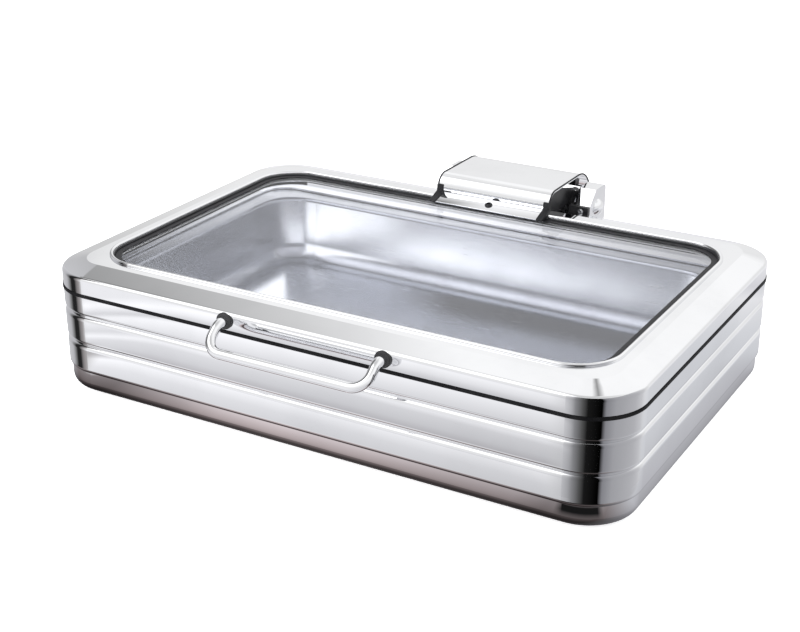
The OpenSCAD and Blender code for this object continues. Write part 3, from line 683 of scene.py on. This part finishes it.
# dark curved cards round the two corners that face the camera, soft at their ends
flags = {
    "reach": 0.1, "high": 0.22, "steps": 40,
    "right": {
        "centre": (0.237, -0.145), "turns": (-20, 125),
        "tones": [(0.0, (0.7, 0.7, 0.7, 0.0)), (0.08, (0.5, 0.5, 0.52, 0.7)), (0.16, (0.25, 0.25, 0.26, 1)),
                  (0.23, (0.09, 0.09, 0.09, 1)), (0.28, (0.01, 0.01, 0.01, 1)), (0.42, (0.0, 0.0, 0.0, 1)),
                  (0.46, (0.25, 0.25, 0.27, 1)), (0.56, (0.38, 0.38, 0.40, 1)), (0.8, (0.48, 0.48, 0.50, 1)),
                  (0.9, (0.55, 0.55, 0.57, 0.8)), (1.0, (0.7, 0.7, 0.7, 0.0))],
    },
    "left": {
        "centre": (-0.237, -0.145), "turns": (-130, -22),
        "tones": [(0.0, (0.7, 0.7, 0.72, 0.0)), (0.35, (0.62, 0.62, 0.64, 1)), (0.6, (0.5, 0.5, 0.52, 1)),
                  (0.7, (0.2, 0.2, 0.2, 1)), (0.75, (0.02, 0.02, 0.02, 1)), (0.84, (0.02, 0.02, 0.02, 1)),
                  (0.92, (0.35, 0.33, 0.33, 1)), (1.0, (0.75, 0.75, 0.75, 0.0))],
    },
}


def flagTurn(at, name):
    cx, cy = flags[name]["centre"]
    return at.math("ARCTAN2", at.axis("X") - cx, cy - at.axis("Y"))


def flagTones(at, name):
    place = flagTurn(at, name).spread(*inRadians(flags[name]["turns"]))
    return [place.ramp(flags[name]["tones"], output) for output in ("Color", "Alpha")]


def cornerFlags():
    for side in ("right", "left"):
        cx, cy = flags[side]["centre"]
        start, end = inRadians(flags[side]["turns"])
        finish, shader, at = newFinish(side + "Flag")
        shade, cover = flagTones(at, side)
        shade.to(shader, "Emission Color")
        cover.to(shader, "Alpha")
        lightOnly(shader)
        shape = bmesh.new()
        foot = Vector((cx + math.sin(start) * flags["reach"], cy - math.cos(start) * flags["reach"], 0))
        ends = [shape.verts.new(foot), shape.verts.new(foot + Vector((0, 0, flags["high"])))]
        edge = shape.edges.new(ends)
        bmesh.ops.spin(shape, geom=[*ends, edge], cent=(cx, cy, 0), axis=(0, 0, 1), angle=end - start,
                       steps=flags["steps"], use_merge=False)
        stagePiece(side + "Flag", shape, finish)


# a painted reflection of the table for the steel: grey paper, with painted shadow darker and warmer close to
# the front, painted shade along the dish's foot, a painted dark dash under the near corner and the flags'
# tones under the flags
mirrored = {
    "size": 3.2, "lift": 0.0003, "reach": 0.3, "corner": 0.048,
    "ends": (0.13, 0.19), "rearSides": (0.285, 0.25),
    "front": [(0.0, rgb(0.03, 0.025, 0.025)), (0.04, rgb(0.11, 0.09, 0.09)), (0.07, rgb(0.27, 0.23, 0.23)),
              (0.125, rgb(0.42, 0.375, 0.38)), (0.14, rgb(0.66, 0.66, 0.68)), (0.2, rgb(0.73, 0.73, 0.75)),
              (0.26, rgb(0.90, 0.90, 0.92)), (0.3, rgb(0.46, 0.45, 0.47)), (0.35, rgb(0.61, 0.61, 0.63)),
              (0.41, rgb(0.69, 0.69, 0.71)), (0.44, rgb(0.88, 0.88, 0.90)), (0.48, rgb(0.68, 0.68, 0.70)),
              (0.56, rgb(0.84, 0.84, 0.86)), (0.6, rgb(0.92, 0.92, 0.94)), (0.63, rgb(0.60, 0.60, 0.62)),
              (0.67, rgb(0.82, 0.82, 0.84)), (0.71, rgb(0.95, 0.95, 0.97)), (0.78, rgb(0.78, 0.78, 0.80))],
    "side": [(0.0, rgb(0.34, 0.34, 0.36)), (0.05, rgb(0.50, 0.50, 0.53)), (0.16, rgb(0.64, 0.65, 0.68)),
             (0.33, rgb(0.70, 0.71, 0.74)), (0.60, rgb(0.84, 0.84, 0.86)), (0.72, rgb(0.70, 0.70, 0.73)),
             (1.0, rgb(0.90, 0.90, 0.92))],
    "fallEnds": (-0.25, 0.25), "fall": (1.2, 0.93),
    "foot": [(0.09, rgb(0.29, 0.29, 0.29)), (0.19, rgb(0.57, 0.57, 0.57)), (0.3, rgb(0.89, 0.89, 0.89)),
             (0.42, rgb(1, 1, 1)), (0.58, rgb(0.91, 0.91, 0.91)), (0.7, rgb(0.77, 0.77, 0.77)),
             (0.82, rgb(0.65, 0.65, 0.65)), (0.87, rgb(0.4, 0.4, 0.4))],
    "footEnds": (-0.285, 0.285), "footShadeZone": (0.15, 0.12), "footShadeGain": 1.75,
    "flagFrom": (0.12, 0.14), "flagTo": (0.4, 0.3),
    "dash": rgb(0.01, 0.01, 0.01), "dashFrom": (-14, -9), "dashTo": (50, 42), "dashNear": (0.05, 0.09),
    "dashFar": (0.14, 0.12),
}


# how far a place on the table lies outside the pan's outline, as a share of the reach
def awayFromPan(at):
    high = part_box("water_pan")[1]
    corner = mirrored["corner"]
    x, y = (at.math("MAXIMUM", abs(at.axis(name)) - (high[k] - corner), 0.0) for k, name in enumerate("XY"))
    away = at.math("SQRT", x * x + y * y) - corner
    return away.spread(0, mirrored["reach"])


def mirroredTable():
    finish, shader, at = newFinish("mirroredPaper")
    x, y = at.axis("X"), at.axis("Y")
    away = awayFromPan(at)
    endFrom, endTo = mirrored["ends"]
    ahead = y.spread(-endFrom, -endTo) + y.spread(endFrom, endTo) * abs(x).spread(*mirrored["rearSides"])
    # painted shade along the dish's foot, lighter near the middle and darker at both ends, on light falling
    # off from left to right
    foot = x.spread(*mirrored["footEnds"]).ramp(mirrored["foot"]) * mirrored["footShadeGain"] - 1
    fall = x.spread(*mirrored["fallEnds"], *mirrored["fall"])
    fall = fall * (foot * away.spread(*mirrored["footShadeZone"]) + 1)
    # painted shadow: the table darker and warmer close to the dish
    front = away.ramp(mirrored["front"])
    front = at.node("ShaderNodeVectorMath", {"operation": "SCALE"}, {0: front, "Scale": fall})
    tone = ahead.blend(away.ramp(mirrored["side"]), front)
    under = away.spread(*mirrored["flagFrom"]) * away.spread(*mirrored["flagTo"])
    for name in ("left", "right"):
        shade, cover = flagTones(at, name)
        tone = (under * cover).blend(tone, shade)
    # painted dark reflection: a dash under the near corner
    turn = flagTurn(at, "right")
    sector = turn.spread(*inRadians(mirrored["dashFrom"])) * turn.spread(*inRadians(mirrored["dashTo"]))
    near = away.spread(*mirrored["dashFar"]) * away.spread(*mirrored["dashNear"])
    (sector * near).blend(tone, mirrored["dash"]).to(shader, "Emission Color")
    lightOnly(shader)
    shape = sheet(mirrored["size"], mirrored["size"])
    bmesh.ops.translate(shape, verts=shape.verts, vec=(0, 0, mirrored["lift"]))
    stagePiece("mirroredTable", shape, finish)


# glowing cards and one dark card inside the dish, painted reflections seen only in its own steel and each
# from its front side
innerCards = {
    "floorGlow": {"size": (0.45, 0.165), "place": (0, -0.04, 0.0345), "turn": (0, 0, 0), "light": (5.2, 1.1),
                  "fadeX": (-0.22, -0.19), "fadeY": (0.04, -0.01)},
    "leftGlow": {"size": (0.046, 0.225), "place": (-0.227, 0.0025, 0.07), "turn": (0, 90, 0),
                 "light": (2.8, 2.8), "fadeY": (-0.11, -0.06)},
    "foldShade": {"size": (0.34, 0.026), "place": (0.06, 0.128, 0.049), "turn": (90, 0, 0),
                  "light": (0.25, 0.2), "fadeX": (-0.11, -0.03)},
    "rearGlow": {"size": (0.565, 0.0415), "place": (0, 0.17075, 0.1053), "turn": (180, 0, 0),
                 "light": (1.6, 0.7)},
    "rearRimGlow": {"size": (0.5, 0.0045), "place": (0, 0.1888, 0.10305), "turn": (90, 0, 0),
                "light": (1.2, 0.6)},
    "leftRimGlow": {"size": (0.034, 0.3), "place": (-0.26675, 0.0, 0.1053), "turn": (180, 0, 0),
                "light": (1.2, 1.2), "fadeY": (-0.1, 0.1)},
}
cardLightX = (-0.1, 0.2)  # where a card's light changes from its left value to its right one


def cardsInside():
    for card, spec in innerCards.items():
        finish, shader, at = newFinish(card)
        at.axis("X").spread(*cardLightX, *spec["light"]).to(shader, "Emission Color")
        cover = 1 - at.node("ShaderNodeNewGeometry", {}, {}, "Backfacing")
        for name in "XY":
            if "fade" + name in spec:
                cover = cover * at.axis(name).spread(*spec["fade" + name])
        cover.to(shader, "Alpha")
        lightOnly(shader)
        shape = sheet(*spec["size"])
        turn = Euler(inRadians(spec["turn"])).to_matrix().to_4x4()
        bmesh.ops.transform(shape, matrix=Matrix.Translation(spec["place"]) @ turn, verts=shape.verts)
        stagePiece(card, shape, finish)


# light all round: hazy low down, duller overhead, with a dark side, a bright key and one thin dark streak
skyLight = {
    "bright": 1.05, "haze": 0.86, "hazeTop": (0.26, 0.45), "zenith": 0.62, "zenithFrom": 0.8,
    "dark": 0.2, "darkWay": -98.0, "darkEdge": (42.0, 20.0), "darkTop": (0.74, 0.85),
    "key": 1.3, "keyWay": (-51.0, 51.0), "keyEdge": (24.0, 9.0),
    "streak": 0.7, "streakWay": -163.5, "streakHeight": 51.0, "streakAcross": (0.04, 0.0),
    "streakTall": (0.16, 0.04), "streakBeyond": (0.2, 0.4),
}


def sky():
    world = bpy.data.worlds.new("studioSky")
    bpy.context.scene.world = world
    world.use_nodes = True
    tree = world.node_tree
    way = Wire(tree, tree.nodes.new("ShaderNodeTexCoord").outputs["Generated"])
    height = way.axis("Z")
    lit = height.spread(*skyLight["hazeTop"], skyLight["haze"], skyLight["bright"])
    lit = lit - height.spread(skyLight["zenithFrom"], 1.0, 0.0, skyLight["bright"] - skyLight["zenith"])
    around = way.node("ShaderNodeVectorMath", {"operation": "NORMALIZE"}, {0: way.flat()})
    unlit = around.along(wayOut(skyLight["darkWay"])).spread(*cosines(skyLight["darkEdge"]))
    unlit = unlit * height.spread(*skyLight["darkTop"], 1.0, 0.0)
    key = way.along(wayOut(*skyLight["keyWay"])).spread(*cosines(skyLight["keyEdge"])) * skyLight["key"]
    across = way.along(wayOut(skyLight["streakWay"] + 90))
    beyond = way.along(wayOut(skyLight["streakWay"]))
    off = abs(height - math.sin(math.radians(skyLight["streakHeight"])))
    streak = abs(across).spread(*skyLight["streakAcross"]) * off.spread(*skyLight["streakTall"])
    streak = streak * beyond.spread(*skyLight["streakBeyond"])
    tone = lit - unlit * (lit - skyLight["dark"]) + key - streak * skyLight["streak"]
    tone.to(tree.nodes["Background"], "Color")


softboxes = {
    "boxFront": {"place": (-0.7, -1.3, 1.5), "aim": (0, 0, 0.05), "size": (1.1, 0.9), "power": 12},
    "boxLow": {"place": (-0.75, -1.45, 0.55), "aim": (0, 0.1, 0.08), "size": (1.2, 0.5), "power": 12},
}


def lamps():
    for name, spec in softboxes.items():
        lamp = bpy.data.lights.new(name, "AREA")
        lamp.shape = "RECTANGLE"
        lamp.size, lamp.size_y = spec["size"]
        lamp.energy = spec["power"]
        made = bpy.data.objects.new(name, lamp)
        made.location = spec["place"]
        aim = Vector(spec["aim"]) - Vector(spec["place"])
        made.rotation_euler = aim.to_track_quat("-Z", "Y").to_euler()
        made.visible_glossy = False
        bpy.context.scene.collection.objects.link(made)


shot = {"azimuth": 29.9, "elevation": 23.15, "distance": 1.425, "aim": (-0.0175, 0.0, 0.057), "lens": 67.73,
        "sensor": 36.0, "clipEnd": 50.0}


def camera():
    reach = wayOut(shot["azimuth"], shot["elevation"])
    lens = bpy.data.cameras.new("camera")
    lens.sensor_fit = "HORIZONTAL"
    lens.sensor_width = shot["sensor"]
    lens.lens = shot["lens"]
    lens.clip_end = shot["clipEnd"]
    made = bpy.data.objects.new("camera", lens)
    made.location = Vector(shot["aim"]) + reach * shot["distance"]
    made.rotation_euler = (-reach).to_track_quat("-Z", "Y").to_euler()
    bpy.context.scene.collection.objects.link(made)
    bpy.context.scene.camera = made


floor()
paperRound()
mirroredTable()
cornerFlags()
cardsInside()
sky()
lamps()
camera()
bpy.context.scene.view_settings.view_transform = "Standard"
bpy.context.scene.view_settings.look = "None"
print("studio set")
